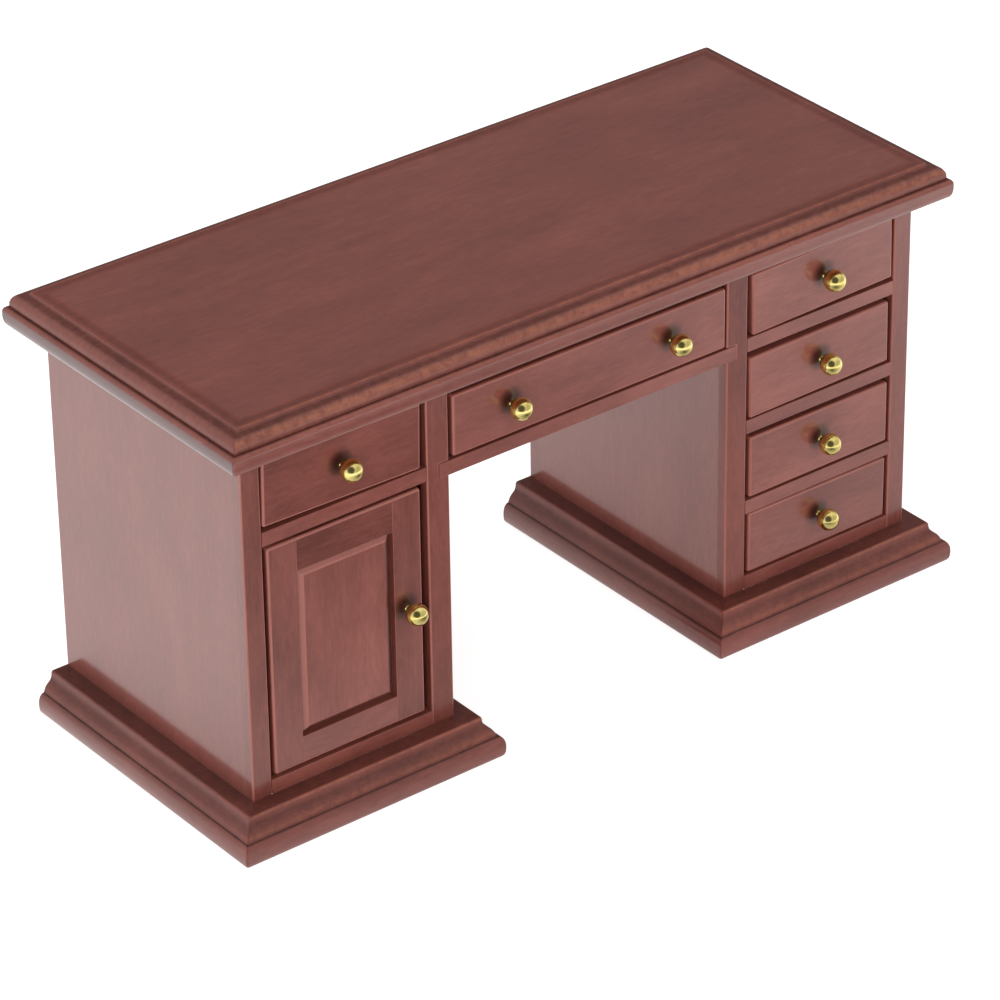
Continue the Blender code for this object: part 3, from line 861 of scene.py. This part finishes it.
class TABLE_OT_door(Operator):
    """Model the panelled cupboard door and give its hinge pins brass"""

    bl_idname = "table.door"
    bl_label = "Cupboard door"

    def execute(self, context):
        for node, grain, grow, inner, butts in (
                ("door_hinge_stile", Z, (0, 0, 0), (1, 0, 0), ()),
                ("door_knob_stile", Z, (0, 0, 0), (-1, 0, 0), ()),
                ("door_top_rail", X, (1, 0, 0), (0, 0, -1), ((1, 0, 0), (-1, 0, 0))),
                ("door_bottom_rail", X, (1, 0, 0), (0, 0, 1), ((1, 0, 0), (-1, 0, 0)))):
            self.member(context, node, grain, grow, inner, butts)
        self.panel(context)
        for node in ("door_top_pin", "door_bottom_pin"):
            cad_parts[node].data.materials.clear()
            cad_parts[node].data.materials.append(polished_brass(f"brass_{node}"))
        return {"FINISHED"}

    def member(self, context, node, grain, grow, inner, butts):
        """A stile or rail, its inner front edge left sharper than its outer ones."""
        low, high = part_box(node)
        piece = start_block(f"wood_{node}", low - Vector(grow) * HAIRLINE,
                            high + Vector(grow) * HAIRLINE)
        stop_editing()
        shade_spots = knob_shade_spots("door") if node == "door_knob_stile" else ()
        # The top rail's much darker tone is painted shade above the panel.
        tone, varnish = (-0.30, 0.1) if node == "door_top_rail" else (-0.06, 1.0)
        coat(piece, mahogany(f"mahogany_{node}", grain, tone=tone, blotch=1.2, knobs=shade_spots,
                             varnish=varnish), worn_and_lit_edge(node, grain, shade_spots))
        soften(piece, context.scene.table_edges.front, butts=(*butts, inner))
        shade(piece)
        own(piece, "door", [node])

    def panel(self, context):
        """A raised and fielded panel: bevels fall from the field into the frame."""
        low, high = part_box("door_panel")
        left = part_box("door_hinge_stile")[1].x
        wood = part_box("door_hinge_stile")[0].y
        piece = start_block("wood_door_panel", (low.x, wood + 1.15 * MM, low.z), high)
        # Three copies of the wood: the field, a lighter copy as painted light on the bevels facing
        # up and left, and a darker copy as painted shade on those facing down and right.
        coat(piece, mahogany("mahogany_door_panel", Z, tone=-0.02, blotch=1.2),
             mahogany("mahogany_door_panel_edge", Z, tone=0.5),
             mahogany("mahogany_door_panel_shade", Z, tone=-0.55, blotch=0.6))
        pick("FACE", facing((0, -1, 0)))
        bpy.ops.mesh.inset(thickness=left - low.x + 0.05 * MM, depth=0)
        bpy.ops.mesh.inset(thickness=0.12 * MM, depth=0.1 * MM)
        bpy.ops.mesh.inset(thickness=1.0 * MM, depth=0.7 * MM)
        bpy.ops.mesh.inset(thickness=0.3 * MM, depth=0.1 * MM)
        # Painted light on the bevels facing left or up, painted shade on those facing right or
        # down.
        self.paint_bevel_light(piece, lambda n: n.x < -0.1 or n.z > 0.1, 1)
        self.paint_bevel_light(piece, lambda n: n.x > 0.1 or n.z < -0.1, 2)
        stop_editing()
        shade(piece, 12)
        own(piece, "door", ["door_panel"])

    def paint_bevel_light(self, piece, test, slot):
        """Give one of the panel's materials to the bevels whose normal passes a test: the lighter
        copy paints light, the darker copy paints shade.
        """
        pick("FACE", lambda face: -0.995 < face.normal.y < -0.2 and test(face.normal))
        piece.active_material_index = slot
        bpy.ops.object.material_slot_assign()


class TABLE_OT_knobs(Operator):
    """Turn the brass ball knobs"""

    bl_idname = "table.knobs"
    bl_label = "Brass knobs"

    def execute(self, context):
        nodes = {"left_drawer_knob": "left_drawer", "door_knob": "door",
                 "centre_drawer_knob_left": "centre_drawer",
                 "centre_drawer_knob_right": "centre_drawer"}
        nodes.update({f"right_drawer_{i}_knob": f"right_drawer_{i}" for i in range(1, 5)})
        for node, body in nodes.items():
            self.knob(context, node, body)
        return {"FINISHED"}

    def knob(self, context, node, body):
        """A ball, its back drawn out into a neck and a collar that meets the wood."""
        low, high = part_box(node)
        radius = (high.x - low.x) / 2
        centre = Vector(((low.x + high.x) / 2, low.y + radius, (low.z + high.z) / 2))
        wood = high.y + HAIRLINE
        bpy.ops.object.select_all(action="DESELECT")
        bpy.ops.mesh.primitive_uv_sphere_add(segments=48, ring_count=24, radius=radius,
                                             location=centre, rotation=(math.pi / 2, 0, 0))
        piece = context.active_object
        piece.name = f"brass_{node}"
        bpy.ops.object.transform_apply(location=True, rotation=True, scale=True)
        bpy.ops.object.mode_set(mode="EDIT")
        neck = 0.60 * MM
        meet = centre.y + math.sqrt(radius ** 2 - neck ** 2)
        pick("VERT", lambda v: v.co.y > meet + 1e-6)
        bpy.ops.mesh.delete(type="VERT")
        pick("EDGE", lambda e: e.is_boundary)
        stops = ((0.50, 0.25), (0.46, 0.50), (0.46, 0.70), (0.52, 0.84), (0.56, 1.0))
        for wide, share in stops:
            self.draw_out(wide * MM, centre, meet + (wood - meet) * share)
        bpy.ops.mesh.edge_face_add()
        stop_editing()
        shade(piece, 40)
        own(piece, body, [node], polished_brass(f"brass_{node}"))

    def draw_out(self, wide, centre, y):
        """Extrude the selected ring to a new width and distance."""
        mesh = bmesh.from_edit_mesh(bpy.context.edit_object.data)
        ring = [v.co for v in mesh.verts if v.select]
        now = max((p - centre).xz.length for p in ring)
        at = sum(p.y for p in ring) / len(ring)
        extrude_by((0, y - at, 0))
        bpy.ops.transform.resize(value=(wide / now, 1, wide / now),
                                 center_override=(centre.x, y, centre.z))


class TABLE_OT_stage(Operator):
    """Set the floor, the soft light and the camera"""

    bl_idname = "table.stage"
    bl_label = "Floor, light and camera"

    eye = (-0.46127, -0.60009, 0.47118)
    azimuth = 37.643
    pitch = 30.484
    roll = -0.844
    flag_place = (0.010, -0.105, 0.00005)
    flag_radius = 0.16
    # Dark parts of the tent: direction, angles where the dark ends and the white starts, depth.
    dark_zones = (((-0.53, -0.68, 0.51), 26, 46, 0.9), ((0.60, 0.77, 0.42), 22, 60, 0.78),
                  ((0.60, -0.75, 0.15), 20, 50, 0.4))

    def execute(self, context):
        self.floor(context)
        self.flag(context)
        self.light_tent(context)
        self.lamps(context)
        self.camera(context)
        context.scene.view_settings.view_transform = "Standard"
        return {"FINISHED"}

    def floor(self, context):
        """A wide pale floor that lets light through from below."""
        bpy.ops.object.select_all(action="DESELECT")
        bpy.ops.mesh.primitive_circle_add(vertices=96, radius=2.2, fill_type="NGON",
                                          location=(0, 0, -0.0001))
        floor = context.active_object
        floor.name = "floor"
        finish = Finish("floor_paper")
        cloud = finish.noise((0, 0, 0), (9, 9, 9), 2.0)
        pale = context.scene.table_stage.floor
        shade_of = [0.985 * c for c in pale]
        finish.feed(finish.shader.inputs["Base Color"], finish.blend(cloud, pale, shade_of))
        finish.shader.inputs["Roughness"].default_value = 0.9
        finish.shader.inputs["Specular IOR Level"].default_value = 0.1
        finish.shader.inputs["Emission Color"].default_value = (1, 1, 1, 1)
        finish.shader.inputs["Emission Strength"].default_value = context.scene.table_stage.glow
        floor.data.materials.append(finish.material)

    def flag(self, context):
        """A dark card in front of the table, seen only as a reflection in the varnish."""
        bpy.ops.object.select_all(action="DESELECT")
        bpy.ops.mesh.primitive_circle_add(vertices=96, radius=self.flag_radius,
                                          fill_type="NGON", location=self.flag_place)
        card = context.active_object
        card.name = "flag"
        bpy.ops.object.transform_apply(location=True, rotation=True, scale=True)
        finish = Finish("flag_card")
        out = finish.node("ShaderNodeVectorMath", {"operation": "DISTANCE"}, {
            0: finish.place(), 1: self.flag_place}).outputs["Value"]
        share = Value(finish, out) * (1 / self.flag_radius)
        glow = finish.steps(share, ((0.06, 0.0), (0.13, 0.15), (0.30, 0.28), (0.42, 0.42),
                                    (0.55, 0.58), (0.70, 0.68), (0.98, 1.0)))
        finish.feed(finish.shader.inputs["Emission Color"], glow)
        finish.shader.inputs["Emission Strength"].default_value = 1.2
        finish.shader.inputs["Base Color"].default_value = (0, 0, 0, 1)
        finish.shader.inputs["Specular IOR Level"].default_value = 0.0
        card.data.materials.append(finish.material)
        card.visible_camera = card.visible_diffuse = card.visible_shadow = False

    def light_tent(self, context):
        """A white tent, darker towards the viewer and high at the back."""
        world = bpy.data.worlds.new("light_tent")
        context.scene.world = world
        world.use_nodes = True
        tent = Nodes(world.node_tree)
        toward = tent.node("ShaderNodeTexCoord").outputs["Object"]
        light = 1.0
        for aim, near, far, depth in self.dark_zones:
            across = tent.node("ShaderNodeVectorMath", {"operation": "DOT_PRODUCT"},
                               {0: toward, 1: Vector(aim).normalized()}).outputs["Value"]
            angle = tent.node("ShaderNodeMath", {"operation": "ARCCOSINE"}, {0: across})
            edge = tent.node("ShaderNodeMapRange", {"interpolation_type": "SMOOTHSTEP"}, {
                0: angle.outputs[0], 1: math.radians(near), 2: math.radians(far),
                3: 1.0 - depth, 4: 1.0})
            light = Value(tent, edge.outputs[0]) * light
        sky = world.node_tree.nodes["Background"]
        tent.feed(sky.inputs["Color"], light.socket)
        sky.inputs["Strength"].default_value = context.scene.table_stage.sky

    def lamps(self, context):
        """Three soft lamps aimed at the table and not seen in its varnish."""
        strength = context.scene.table_stage.sky
        plan = (("left_softbox", (-0.90, -0.85, 0.50), 0.5, 7.0),
                ("front_softbox", (0.25, -1.1, 0.6), 0.7, 3.0),
                ("top_softbox", (0.1, 0.1, 1.3), 0.6, 3.6))
        for name, place, size, power in plan:
            data = bpy.data.lights.new(name, "AREA")
            data.shape = "SQUARE"
            data.size = size
            data.energy = power * strength
            lamp = bpy.data.objects.new(name, data)
            lamp.location = place
            lamp.visible_glossy = False
            lamp.rotation_euler = (Vector((0, 0, 0.03)) - Vector(place)).to_track_quat(
                "-Z", "Y").to_euler()
            context.scene.collection.objects.link(lamp)

    def camera(self, context):
        """A long lens, in front of the table, to its left and above it."""
        data = bpy.data.cameras.new("camera")
        data.sensor_width = 36
        data.lens = context.scene.table_stage.lens
        camera = bpy.data.objects.new("camera", data)
        context.scene.collection.objects.link(camera)
        turn, drop, roll = (math.radians(a) for a in (self.azimuth, self.pitch, self.roll))
        forward = Vector((math.sin(turn) * math.cos(drop), math.cos(turn) * math.cos(drop),
                          -math.sin(drop)))
        right = Vector((math.cos(turn), -math.sin(turn), 0))
        up = right.cross(forward)
        across = right * math.cos(roll) + up * math.sin(roll)
        above = -right * math.sin(roll) + up * math.cos(roll)
        camera.matrix_world = Matrix.Translation(self.eye) @ Matrix(
            (across, above, -forward)).transposed().to_4x4()
        context.scene.camera = camera


class TABLE_PT_panel(Panel):
    """Lists the steps that make the table"""

    bl_label = "Dressing table"
    bl_idname = "TABLE_PT_panel"
    bl_space_type = "VIEW_3D"
    bl_region_type = "UI"
    bl_category = "Dressing table"

    def draw(self, context):
        for step in STEPS:
            self.layout.operator(step.bl_idname)
        for group in GROUPS:
            settings = getattr(context.scene, group)
            box = self.layout.box()
            for key in settings.__annotations__:
                box.prop(settings, key)


STEPS = (TABLE_OT_top, TABLE_OT_plinths, TABLE_OT_carcass, TABLE_OT_face_frame, TABLE_OT_drawers,
         TABLE_OT_door, TABLE_OT_knobs, TABLE_OT_stage)
GROUPS = {"table_wood": WoodSettings, "table_edges": EdgeSettings, "table_brass": BrassSettings,
          "table_stage": StageSettings}


def register():
    for group, settings in GROUPS.items():
        bpy.utils.register_class(settings)
        setattr(bpy.types.Scene, group, PointerProperty(type=settings))
    for cls in (*STEPS, TABLE_PT_panel):
        bpy.utils.register_class(cls)


def unregister():
    for cls in (TABLE_PT_panel, *reversed(STEPS)):
        bpy.utils.unregister_class(cls)
    for group, settings in GROUPS.items():
        delattr(bpy.types.Scene, group)
        bpy.utils.unregister_class(settings)


def main():
    register()
    for step in STEPS:
        getattr(bpy.ops.table, step.bl_idname.split(".")[1])()


if __name__ == "__main__":
    main()
